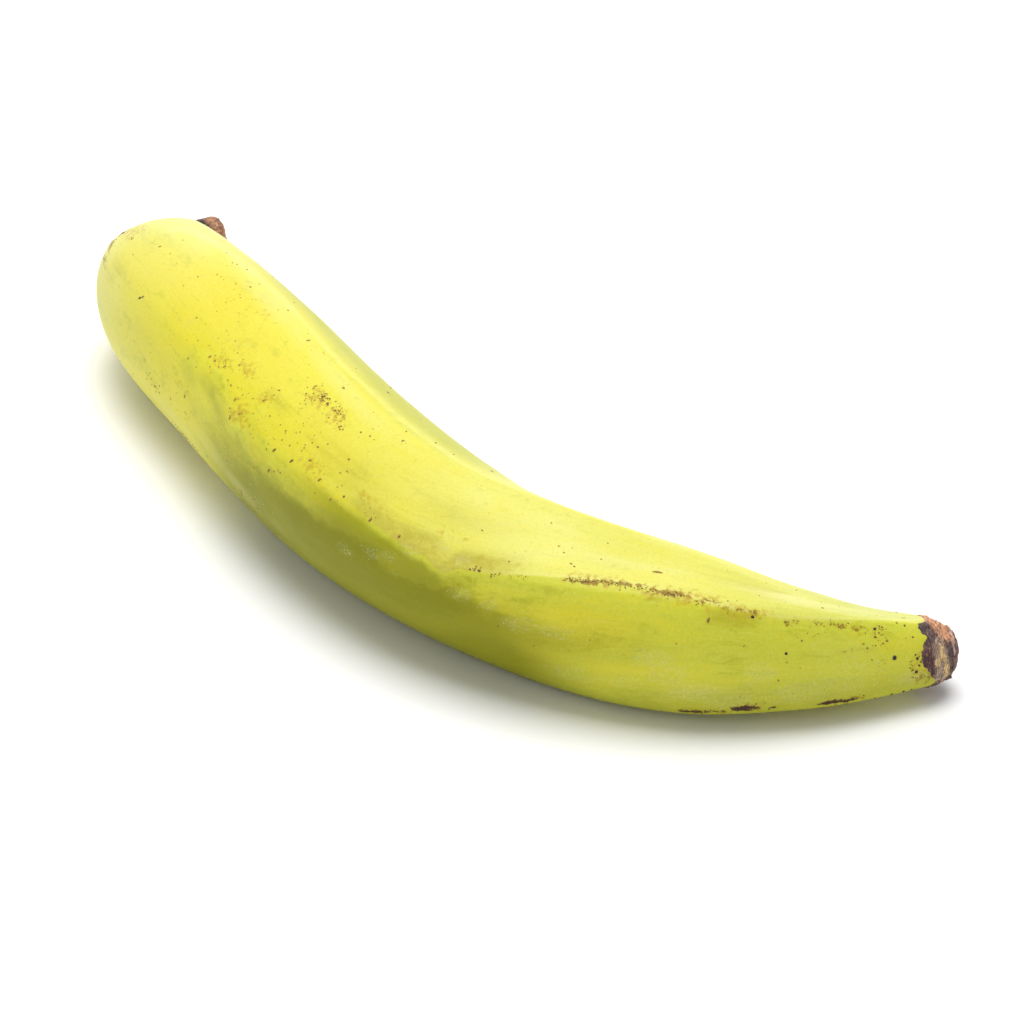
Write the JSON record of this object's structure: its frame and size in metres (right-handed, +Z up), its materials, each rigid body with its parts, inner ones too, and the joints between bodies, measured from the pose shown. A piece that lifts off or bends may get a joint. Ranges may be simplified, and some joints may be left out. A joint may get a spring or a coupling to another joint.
{
  "type": "plantain",
  "caption": "Plantain fruit lying on its side, bent along its length, with softly ridged peel, a cut stem at one end and a dried flower end at the other",
  "frame": {"origin": "bottom centre of the fruit's bounding box, on the surface it lies on", "axes": "+X along the fruit's length towards the flower end, +Y towards the hollow side, +Z up"},
  "size_m": [0.298, 0.1258, 0.0501],
  "materials": {
    "plantain_skin": "yellow-green waxy peel, soft sheen, brown scars on the ridges and dried brown ends"
  },
  "bodies": {
    "root": {"plantain": "plantain_skin"}
  },
  "joints": []
}
